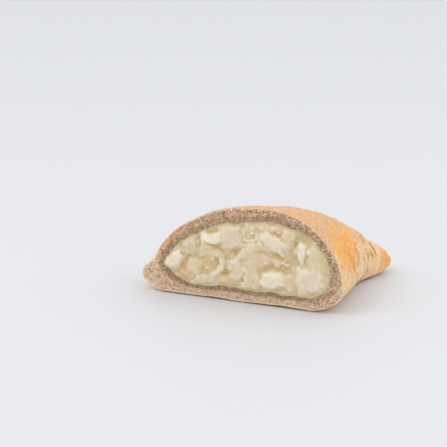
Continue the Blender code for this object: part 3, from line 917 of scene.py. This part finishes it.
height += 0.00005 * rough(spots, 0.0022, 3, 31) + 0.00003 * rough(spots, 0.0009, 2, 33)
held = smooth(0.0, 0.0024, from_edge)
height = height * held + (1 - held) * (-0.00015 + 0.0002 * rough(spots, 0.004, 2, 35))
height = PROUD_MOST - np.abs(PROUD_MOST - height)
# Painted shade wherever the face lies below its surroundings, and a painted highlight where it stands
# above them.
crevice = smooth(0.00006, 0.00048, local_mean(face, height, 0.0012) - height)
pooled = np.clip(np.maximum(pooled, crevice), 0.0, 1.0)
lit = smooth(0.00006, 0.00040, height - local_mean(face, height, 0.0014))
# Painted shade along the edge, broken up by noise.
soaked = 1 - smooth(0.0, 0.0022, from_edge + 0.0006 * rough(spots, 0.0035, 2, 37))
for share, tone in ((0.86 * pooled, POOLED), (0.35 * lit, LIT_EDGE), (0.25 * soaked, SOAKED)):
    colour += share[:, None] * (tone - colour)
print("face height", (height.min() * 1000).round(2), "to", (height.max() * 1000).round(2), "mm")

# %% Close the filling's mesh
points[face_index, 1] = -height
points[edge_index, 1] = 0.00015
faces = grid_faces(CORE_COLUMNS, core_rows, 2, 0, 1)
faces += facing_front(points, face_faces).tolist()
filling_mesh = bpy.data.meshes.new("creamy_filling")
filling_mesh.from_pydata(placed(points).tolist(), [], faces)
tint = np.tile(TONES["cream"], (len(points), 1))
tint[face_index] = colour
add_colours(filling_mesh, "tint", tint)
at_front = np.zeros(len(points))
at_front[face_index] = smooth(0.0004, 0.0014, from_edge)
add_values(filling_mesh, front=at_front)
filling_mesh.shade_smooth()
creamy_filling = link("creamy_filling", filling_mesh)
print("filling:", triangle_count(filling_mesh), "triangles, sound:", not filling_mesh.validate())


# %% [markdown]
# Materials. Each one is built from nodes, by a small helper that makes a node, sets it and joins it in
# one call, so that a finish reads from top to bottom like a recipe. The same helper makes the node
# trees that scatter things, because both kinds of tree take the same calls.


# %% Helpers for node trees
class Recipe:
    """A node tree whose nodes are made and joined one call at a time."""

    def __init__(self, tree):
        self.tree = tree

    def feed(self, socket, value):
        if isinstance(value, bpy.types.NodeSocket):
            self.tree.links.new(value, socket)
        else:
            socket.default_value = (*value, 1.0) if socket.type == "RGBA" else value

    def add(self, kind, inputs=(), **settings):
        node = self.tree.nodes.new(kind)
        for name, value in settings.items():
            setattr(node, name, value)
        for key, value in dict(inputs).items():
            self.feed(node.inputs[key], value)
        return node

    def out(self, kind, inputs=(), output=0, **settings):
        """An output of a new node, the first one unless another is named."""
        return self.add(kind, inputs, **settings).outputs[output]

    def math(self, operation, a, b=0.0):
        return self.out("ShaderNodeMath", {0: a, 1: b}, operation=operation)

    def centred(self, noise_value, amount):
        """Noise from 0 to 1, brought to both sides of 0 and scaled."""
        return self.math("MULTIPLY", self.math("SUBTRACT", noise_value, 0.5), amount)


class Finish(Recipe):
    """A material that reads the object's own coordinates and attributes."""

    def __init__(self, name):
        self.material = bpy.data.materials.new(name)
        self.material.use_nodes = True
        super().__init__(self.material.node_tree)
        self.shader = self.tree.nodes["Principled BSDF"]
        self.place = self.add("ShaderNodeTexCoord").outputs["Object"]
        axes = self.add("ShaderNodeSeparateXYZ", {"Vector": self.place}).outputs
        self.x, self.y, self.z = axes["X"], axes["Y"], axes["Z"]

    def set(self, **inputs):
        for name, value in inputs.items():
            self.feed(self.shader.inputs[name.replace("_", " ")], value)

    def value(self, name, output="Fac"):
        return self.out("ShaderNodeAttribute", output=output, attribute_name=name)

    def noise(self, size, detail=3.0, roughness=0.55):
        """Noise from 0 to 1 whose patches are about this size in metres."""
        inputs = {"Vector": self.place, "Scale": 1 / size, "Detail": detail, "Roughness": roughness}
        return self.out("ShaderNodeTexNoise", inputs, "Fac")

    def ease(self, value, low, high, to_low=0.0, to_high=1.0):
        ends = {"From Min": low, "From Max": high, "To Min": to_low, "To Max": to_high}
        return self.out("ShaderNodeMapRange", {"Value": value, **ends}, interpolation_type="SMOOTHSTEP")

    def mix(self, share, a, b):
        return self.out("ShaderNodeMix", {0: share, 6: a, 7: b}, 2, data_type="RGBA")

    def lay(self, tone, share, most=1.0):
        """Lays a tone over the colour so far."""
        if most != 1.0:
            share = self.math("MULTIPLY", share, most)
        self.colour = self.mix(share, self.colour, tone)

    def bump(self, height, depth, strength=1.0):
        inputs = {"Height": height, "Distance": depth, "Strength": strength}
        return self.out("ShaderNodeBump", inputs, "Normal")

    def fix(self, **values):
        """Sets what is the same all over, straight on the shader."""
        for name, value in values.items():
            self.shader.inputs[name.replace("_", " ")].default_value = value


# %% [markdown]
# The crust's finish. Three noises from broad to fine mottle it; it is golden on the seam's side, peach
# and more mottled on the fold's, paler low down, and orange where it is toasted. Round the fold run
# light and dark streaks, where the dough was stretched. A painted picture would need unwrapping and
# shows its pixels close by; noise in the object's own coordinates keeps its size and has no seams. All
# tones are linear red, green and blue.

# %% Finish of the crust
def crust_finish():
    f = Finish("crust")
    broad, mottle, fine = f.noise(0.010), f.noise(0.0026, 4.0, 0.65), f.noise(0.0012, 4.0, 0.70)
    across = f.math("SUBTRACT", f.x, f.math("MULTIPLY", f.y, 1.2))
    fold_side = f.ease(f.math("ADD", across, f.centred(broad, 0.030)), -0.026, 0.042)
    low = f.ease(f.math("ADD", f.z, f.math("MULTIPLY", broad, 0.008)), 0.006, 0.027, 1.0, 0.0)
    top = f.ease(f.z, 0.023, 0.035)
    f.colour = f.mix(f.ease(mottle, 0.36, 0.62), (0.85, 0.49, 0.22), (0.90, 0.64, 0.40))
    f.lay((0.93, 0.70, 0.45), low, f.ease(fold_side, 0.0, 1.0, 0.10, 0.68))
    f.lay((0.64, 0.365, 0.190), top, 0.78)
    golden = f.mix(f.ease(f.z, 0.008, 0.034), (0.77, 0.42, 0.140), (0.84, 0.55, 0.205))
    f.lay(golden, f.ease(fold_side, 0.0, 1.0, 0.80, 0.0))
    toast = f.math("ADD", f.value("toasted"), f.centred(mottle, 1.7))
    f.lay((0.91, 0.390, 0.045), f.ease(toast, 0.15, 1.00, 0.0, 0.95))

    # Freckles, flecks, flour and the finest grain.
    freckle = f.ease(f.noise(0.0011, 2.0, 0.5), 0.58, 0.68)
    freckle = f.math("MULTIPLY", freckle, f.ease(f.noise(0.005), 0.42, 0.62))
    f.lay((0.62, 0.26, 0.07), freckle, 0.70)
    flecked = f.math("MULTIPLY", f.ease(f.noise(0.0019, 3.0, 0.6), 0.55, 0.68), top)
    f.lay((0.72, 0.37, 0.15), flecked, 0.45)
    contrast = f.ease(fold_side, 0.0, 1.0, 0.55, 1.0)
    flour = f.ease(f.noise(0.0017, 4.0, 0.72), 0.54, 0.66)
    f.lay((0.94, 0.74, 0.49), flour, f.math("MULTIPLY", contrast, 0.38))
    f.lay((0.72, 0.355, 0.105), f.ease(fine, 0.49, 0.64, 0.0, 0.74), contrast)
    f.lay((0.95, 0.72, 0.45), f.ease(fine, 0.50, 0.36, 0.0, 0.40), contrast)

    # Streaks round the fold, then painted shade in the creases and between the pleats, then the
    # underside.
    sides = {"X": f.math("MULTIPLY", f.value("along"), 700.0)}
    sides["Y"] = f.math("MULTIPLY", f.value("down"), 110.0)
    streak_place = f.out("ShaderNodeCombineXYZ", sides)
    inputs = {"Vector": streak_place, "Scale": 1.0, "Detail": 3.0}
    streak = f.out("ShaderNodeTexNoise", inputs, "Fac")
    fold = f.math("MULTIPLY", f.value("fold"), f.ease(f.z, 0.037, 0.024, 0.25, 1.0))
    f.lay((0.64, 0.30, 0.10), f.ease(streak, 0.55, 0.70), f.math("MULTIPLY", fold, 0.60))
    light_streak = f.math("MULTIPLY", f.ease(streak, 0.47, 0.33), f.math("MULTIPLY", fold, 0.75))
    f.lay((0.95, 0.76, 0.55), light_streak, f.ease(toast, 0.1, 0.7, 1.0, 0.25))
    # Painted shade in the creases and between the pleats.
    f.lay((0.44, 0.19, 0.06), f.value("creased"), 0.95)
    # The underside: browner from the tray, and darker as painted shade under the base.
    f.lay((0.42, 0.22, 0.09), f.value("beneath"), 0.75)
    f.set(Base_Color=f.colour, Roughness=f.ease(mottle, 0.3, 0.7, 0.50, 0.66))
    f.set(Normal=f.bump(f.math("ADD", fine, f.math("MULTIPLY", mottle, 0.8)), 0.00045, 0.8))
    f.fix(Specular_IOR_Level=0.35, Subsurface_Weight=0.10, Subsurface_Scale=0.0010)
    f.fix(Subsurface_Radius=(1.0, 0.5, 0.25))
    return f.material


# %% [markdown]
# The crumb's finish. It is grainy and brown, rosy at the upper left, darker just under the crust high
# up, and darkest where the filling has wetted it. Below the wet band and at the lip it is dry and tan,
# and a thin pale line marks the crust's own edge. One noise could give the grain but not these bands,
# so each tone is laid over the ones before it, as far as its distance from the rim or hollow says.


# %% Finish of the crumb
def crumb_finish():
    f = Finish("crumb")
    from_rim, from_hollow = f.value("from_rim"), f.value("from_hollow")
    blotch, fine = f.noise(0.0015, 3.0, 0.65), f.noise(0.0008, 3.0, 0.65)
    wavy = f.centred(f.noise(0.0060, 2.0), 0.0030)
    wavy_x, wavy_z = f.math("ADD", f.x, wavy), f.math("ADD", f.z, wavy)
    grain = f.math("ADD", f.math("MULTIPLY", blotch, 0.65), f.math("MULTIPLY", fine, 0.35))
    f.colour = f.mix(f.ease(grain, 0.36, 0.64), (0.46, 0.280, 0.175), (0.77, 0.520, 0.345))
    f.lay((0.80, 0.470, 0.240), f.ease(wavy_x, -0.030, 0.000, 0.60, 0.15), f.ease(f.z, 0.010, 0.016))
    outer_band = f.ease(f.math("ADD", from_rim, wavy), 0.0010, 0.0034, 1.0, 0.0)
    f.lay((0.36, 0.190, 0.110), f.math("MULTIPLY", f.ease(f.z, 0.020, 0.034), outer_band), 0.62)

    # The wet band round the hollow.
    under = f.mix(f.ease(blotch, 0.35, 0.65), (0.17, 0.105, 0.055), (0.33, 0.220, 0.130))
    over = f.mix(f.ease(blotch, 0.35, 0.65), (0.26, 0.165, 0.090), (0.46, 0.320, 0.195))
    height = f.math("ADD", f.z, f.math("MULTIPLY", f.x, 0.15))
    wet = f.ease(f.math("ADD", from_hollow, wavy), 0.0018, 0.0036, 1.0, 0.0)
    wet = f.math("MULTIPLY", wet, f.ease(f.x, 0.026, 0.036, 1.0, 0.45))
    f.lay(f.mix(f.ease(height, 0.008, 0.024), under, over), wet, 0.84)

    # The dry floor, the fold, the lip, a painted highlight on what stands out and painted shade in what
    # lies deep.
    low_tan = f.mix(f.ease(grain, 0.32, 0.68), (0.46, 0.315, 0.215), (0.76, 0.55, 0.39))
    f.lay(low_tan, f.ease(wavy_z, 0.0034, 0.0044, 1.0, 0.0))
    at_fold = f.math("MULTIPLY", f.ease(f.x, 0.034, 0.041), f.ease(f.z, 0.012, 0.020))
    f.lay((0.34, 0.210, 0.140), at_fold, 0.50)
    tan = f.mix(f.ease(grain, 0.34, 0.66), (0.66, 0.45, 0.30), (0.86, 0.63, 0.44))
    f.lay(tan, f.ease(wavy_x, -0.0425, -0.0365, 1.0, 0.0), 0.85)
    f.lay((0.84, 0.63, 0.43), f.value("raised"), 0.42)
    f.lay((0.22, 0.12, 0.060), f.value("pitted"), 0.48)
    edge = f.math("ADD", from_rim, f.math("MULTIPLY", grain, 0.0020))
    f.lay((0.91, 0.67, 0.42), f.ease(edge, 0.0009, 0.0019, 1.0, 0.0), 0.85)
    f.set(Base_Color=f.colour, Roughness=f.ease(wet, 0.0, 1.0, 0.85, 0.55))
    f.set(Normal=f.bump(grain, 0.0004, 0.6))
    f.fix(Specular_IOR_Level=0.25)
    return f.material


# %% [markdown]
# The filling's finish, and one for the loose bits. The filling is moist and soft: a plain gloss would
# make it look like plastic, so light also goes a little way in, by subsurface scattering. Its tints,
# painted shade and highlight among them, are already at the points, and noise clouds them. The loose
# bits share one recipe, in which each bit has its own shade between a dark and a light tone.


# %% Finishes of the filling and the loose bits
def filling_finish():
    f = Finish("filling_surface")
    cloud, fine = f.noise(0.0045), f.noise(0.0012, 3.0, 0.6)
    f.colour = f.value("tint", "Color")
    f.lay((0.84, 0.78, 0.66), f.ease(cloud, 0.42, 0.72, 0.0, 0.28))
    f.lay((0.62, 0.49, 0.27), f.ease(cloud, 0.50, 0.25, 0.0, 0.36))
    f.lay((0.57, 0.44, 0.24), f.ease(fine, 0.48, 0.78, 0.0, 0.42))
    f.set(Base_Color=f.colour, Roughness=f.ease(cloud, 0.3, 0.7, 0.30, 0.48))
    f.set(Normal=f.bump(f.math("ADD", fine, cloud), 0.00022, 0.45))
    f.fix(Specular_IOR_Level=0.45, Subsurface_Weight=0.45, Subsurface_Scale=0.0014)
    f.fix(Subsurface_Radius=(1.0, 0.75, 0.45))
    return f.material


def loose_finish(name, dark, light, roughness, wet=None, soft=0.0):
    f = Finish(name)
    shade = f.math("ADD", f.value("shade"), f.centred(f.noise(0.0006), 0.4))
    f.colour = f.mix(f.ease(shade, 0.0, 1.0), dark, light)
    if wet:
        soaked = f.ease(f.value("from_hollow"), 0.0016, 0.0036, 0.75, 0.0)
        f.lay(wet, soaked, f.ease(f.x, 0.026, 0.036, 1.0, 0.45))
    f.set(Base_Color=f.colour, Roughness=roughness)
    f.set(Normal=f.bump(f.noise(0.0003, 2.0), 0.0001, 0.5))
    f.fix(Specular_IOR_Level=0.3)
    if soft:
        f.fix(Subsurface_Weight=soft, Subsurface_Scale=0.0010)
    return f.material


WET_CRUMB = (0.37, 0.250, 0.150)
dough_mesh.materials.append(crust_finish())
dough_mesh.materials.append(crumb_finish())
filling_mesh.materials.append(filling_finish())
grain_material = loose_finish("crumb_grain", (0.40, 0.230, 0.135), (0.88, 0.68, 0.48), 0.85, WET_CRUMB)
curl_material = loose_finish("curl", (0.72, 0.52, 0.36), (0.98, 0.88, 0.73), 0.8)
bran_material = loose_finish("bran", (0.52, 0.25, 0.08), (0.76, 0.45, 0.19), 0.6)
shred_material = loose_finish("shred", (0.72, 0.60, 0.40), (0.80, 0.71, 0.54), 0.4, soft=0.4)
print("materials:", sorted(m.name for m in bpy.data.materials if m.users))

# %% [markdown]
# Things that repeat: grains of crumb that the knife left standing, flakes of bran baked into the crust
# and shreds of the filling. The shreds' bent strand, made smaller, also gives the curls that the rim
# of the cut frays into. Each is one small form, scattered by a node tree over the part of a mesh that
# an attribute marks, turned and sized at random, and roughened so that no two are alike. Placing each
# by hand wouldn't give this density, and a particle system can't be limited as easily.


# %% A node tree that scatters
class Scatter(Recipe):
    """Spreads a small form over a mesh, as densely as an attribute says, in sizes drawn at random."""

    def __init__(self, name, attribute, material, sizes, roughen, roughen_size, upright):
        super().__init__(bpy.data.node_groups.new(name, "GeometryNodeTree"))
        face = self.tree.interface
        face.new_socket(name="Ground", in_out="INPUT", socket_type="NodeSocketGeometry")
        for label, kind in (("Per square metre", "NodeSocketFloat"), ("Seed", "NodeSocketInt")):
            face.new_socket(name=label, in_out="INPUT", socket_type=kind)
        face.new_socket(name="Pieces", in_out="OUTPUT", socket_type="NodeSocketGeometry")
        given = self.add("NodeGroupInput").outputs
        marked = self.out("GeometryNodeInputNamedAttribute", {"Name": attribute}, data_type="FLOAT")
        density = self.math("MULTIPLY", given["Per square metre"], marked)
        inputs = {"Mesh": given["Ground"], "Density": density, "Seed": given["Seed"]}
        spread = self.add("GeometryNodeDistributePointsOnFaces", inputs).outputs
        shade = self.out("FunctionNodeRandomValue", {2: 0.0, 3: 1.0, "Seed": 5}, 1, data_type="FLOAT")
        inputs = {"Geometry": spread["Points"], "Name": "shade", "Value": shade}
        kept = {"data_type": "FLOAT", "domain": "POINT"}
        shaded = self.out("GeometryNodeStoreNamedAttribute", inputs, **kept)

        most = (0.0, 0.0, 2 * math.pi) if upright else (2 * math.pi,) * 3
        inputs = {0: (0.0, 0.0, 0.0), 1: most, "Seed": 6}
        turn = self.out("FunctionNodeRandomValue", inputs, data_type="FLOAT_VECTOR")
        inputs = {"Rotation": spread["Rotation"], "Rotate By": turn}
        turned = self.out("FunctionNodeRotateRotation", inputs, rotation_space="LOCAL")
        inputs = {0: sizes[0], 1: sizes[1], "Seed": 7}
        scale = self.out("FunctionNodeRandomValue", inputs, data_type="FLOAT_VECTOR")
        inputs = {"Points": shaded, "Instance": self.form(), "Rotation": turned, "Scale": scale}
        placed = self.out("GeometryNodeInstanceOnPoints", inputs)
        real = self.out("GeometryNodeRealizeInstances", {"Geometry": placed})

        place = self.out("GeometryNodeInputPosition")
        inputs = {"Vector": place, "Scale": 1 / roughen_size, "Detail": 1.0}
        ripple = self.out("ShaderNodeTexNoise", inputs, "Color")
        inputs = {0: ripple, 1: (0.5, 0.5, 0.5)}
        push = self.out("ShaderNodeVectorMath", inputs, operation="SUBTRACT")
        push = self.out("ShaderNodeVectorMath", {0: push, "Scale": roughen}, operation="SCALE")
        pieces = self.out("GeometryNodeSetPosition", {"Geometry": real, "Offset": push})
        pieces = self.out("GeometryNodeSetShadeSmooth", {"Geometry": pieces})
        pieces = self.out("GeometryNodeSetMaterial", {"Geometry": pieces, "Material": material})
        self.tree.links.new(pieces, self.add("NodeGroupOutput").inputs["Pieces"])

    def form(self):
        """A small ball of 80 faces; the scale makes a grain or a flake of it."""
        return self.out("GeometryNodeMeshIcoSphere", {"Radius": 1.0, "Subdivisions": 2})

    def grow(self, name, ground, density, seed):
        """Runs the tree on a mesh and keeps what it makes as a plain mesh, held inside the box."""
        carrier = link(name, ground)
        modifier = carrier.modifiers.new("scatter", "NODES")
        modifier.node_group = self.tree
        given = {"Per square metre": density, "Seed": seed}
        for item in self.tree.interface.items_tree:
            if item.name in given:
                modifier[item.identifier] = given[item.name]
        graph = bpy.context.evaluated_depsgraph_get()
        mesh = bpy.data.meshes.new_from_object(carrier.evaluated_get(graph))
        carrier.modifiers.clear()
        mesh.name = name
        flat = np.zeros(len(mesh.vertices) * 3, np.float32)
        mesh.vertices.foreach_get("co", flat)
        held = np.clip(flat.reshape(-1, 3), *np.array(cad_box))
        mesh.vertices.foreach_set("co", held.astype(np.float32).ravel())
        carrier.data = mesh
        print(name, "-", triangle_count(mesh), "triangles")
        return carrier


class ShredScatter(Scatter):
    def form(self):
        """A bent strand that narrows at both ends."""
        inputs = {
            "Resolution": 8,
            "Start": (-1.0, 0.0, -0.5),
            "Start Handle": (-0.4, 0.7, 0.9),
            "End Handle": (0.4, -0.5, 0.9),
            "End": (1.0, 0.2, -0.5),
        }
        curve = self.out("GeometryNodeCurvePrimitiveBezierSegment", inputs)
        share = self.out("GeometryNodeSplineParameter")
        swell = self.math("MULTIPLY", share, self.math("SUBTRACT", 1.0, share))
        radius = self.math("ADD", self.math("MULTIPLY", swell, 3.2), 0.15)
        tapered = self.out("GeometryNodeSetCurveRadius", {"Curve": curve, "Radius": radius})
        ring = self.out("GeometryNodeCurvePrimitiveCircle", {"Resolution": 6, "Radius": 0.18})
        inputs = {"Curve": tapered, "Profile Curve": ring, "Fill Caps": True}
        return self.out("GeometryNodeCurveToMesh", inputs)


# %% Scatter grains, curls, bran and shreds
GRAIN_SIZES = ((0.00020, 0.00020, 0.00014), (0.00055, 0.00048, 0.00034))
CURL_SIZES = ((0.00030, 0.00034, 0.00024), (0.00092, 0.00090, 0.00060))
BRAN_SIZES = ((0.00020, 0.00014, 0.00003), (0.00072, 0.00036, 0.00006))
SHRED_SIZES = ((0.0009, 0.0009, 0.0003), (0.0022, 0.0017, 0.0005))
SCATTERED = {  # kind, where, material, sizes, roughening and its size, upright, ground, density, seed
    "crumb_grains": (
        (Scatter, "cut", grain_material, GRAIN_SIZES, 0.00022, 0.0004, False),
        (dough_mesh, 0.9e6, 3),
    ),
    "crumb_curls": (
        (ShredScatter, "frayed", curl_material, CURL_SIZES, 0.0003, 0.0008, False),
        (dough_mesh, 4.0e6, 6),
    ),
    "bran_flakes": (
        (Scatter, "crust", bran_material, BRAN_SIZES, 0.00016, 0.0007, True),
        (dough_mesh, 2.6e4, 8),
    ),
    "shreds": (
        (ShredScatter, "front", shred_material, SHRED_SIZES, 0.0008, 0.0022, True),
        (filling_mesh, 0.6e4, 4),
    ),
}
loose = {}
for name, ((kind, *form), spread) in SCATTERED.items():
    loose[name] = kind(name, *form).grow(name, *spread)

# %% [markdown]
# The table, the light and the camera. An even, pale room and a large soft light from above and behind
# keep shadows thin, as in a bright kitchen; a plain floor keeps the eye on the food. The camera stands
# low and a little to the right of the cut, with a long lens, so that the food isn't distorted.

# %% Floor and light
FLOOR_SIZE = 8.0
corners = [(x * FLOOR_SIZE / 2, y * FLOOR_SIZE / 2, 0) for x, y in ((-1, -1), (1, -1), (1, 1), (-1, 1))]
floor_mesh = bpy.data.meshes.new("floor")
floor_mesh.from_pydata(corners, [], [(0, 1, 2, 3)])
floor = link("floor", floor_mesh)
table = Finish("table")
table.set(Base_Color=(0.69, 0.695, 0.72), Roughness=0.6)
floor_mesh.materials.append(table.material)

world = bpy.data.worlds.new("room")
world.use_nodes = True
world.node_tree.nodes["Background"].inputs["Color"].default_value = (0.965, 0.98, 1.0, 1.0)
world.node_tree.nodes["Background"].inputs["Strength"].default_value = 1.0
bpy.context.scene.world = world


def add_light(name, place, target, size, power, colour):
    light = bpy.data.lights.new(name, "AREA")
    light.shape = "DISK"
    light.size, light.energy, light.color = size, power, colour
    lamp = bpy.data.objects.new(name, light)
    lamp.location = place
    lamp.rotation_euler = (Vector(target) - Vector(place)).to_track_quat("-Z", "Y").to_euler()
    bpy.context.scene.collection.objects.link(lamp)


add_light("softbox", (0.75, 0.15, 0.60), (0, 0, 0.02), 0.7, 1.4, (1.0, 0.985, 0.96))
add_light("window", (-0.50, -0.60, 0.85), (0, 0, 0.02), 0.7, 2.5, (1.0, 0.99, 0.975))

# %% Camera
VIEW_TURN = math.radians(22.057)  # to the right of the cut's normal
VIEW_RISE = math.radians(17.345)
VIEW_DISTANCE = 0.75
AIM = Vector((-0.01212, -0.02534, 0.03293))
LENS, SENSOR = 136.6, 36.0

level = math.cos(VIEW_RISE)
toward = Vector((math.sin(VIEW_TURN) * level, -math.cos(VIEW_TURN) * level, math.sin(VIEW_RISE)))
camera_data = bpy.data.cameras.new("camera")
camera_data.lens, camera_data.sensor_width = LENS, SENSOR
camera = bpy.data.objects.new("camera", camera_data)
camera.location = AIM + toward * VIEW_DISTANCE
camera.rotation_euler = toward.to_track_quat("Z", "Y").to_euler()
bpy.context.scene.collection.objects.link(camera)
bpy.context.scene.camera = camera
bpy.context.scene.view_settings.view_transform = "Standard"
print("camera at", tuple(round(c, 4) for c in camera.location))

# %% [markdown]
# Last, each piece is hung on the body it moves with, and the imported solid that a rebuilt piece takes
# the place of is hidden. The loose bits stand for no solid of their own. Nothing moves on its own here,
# so all ride on the one body.

# %% Hand the pieces over
PIECES = (
    (baked_dough, "baked_dough", "dough"),
    (loose["crumb_grains"], "baked_dough", None),
    (loose["crumb_curls"], "baked_dough", None),
    (loose["bran_flakes"], "baked_dough", None),
    (creamy_filling, "creamy_filling", "filling"),
    (loose["shreds"], "creamy_filling", None),
)
for piece, slot, node in PIECES:
    if node:
        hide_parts(node)
    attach(piece, "root")
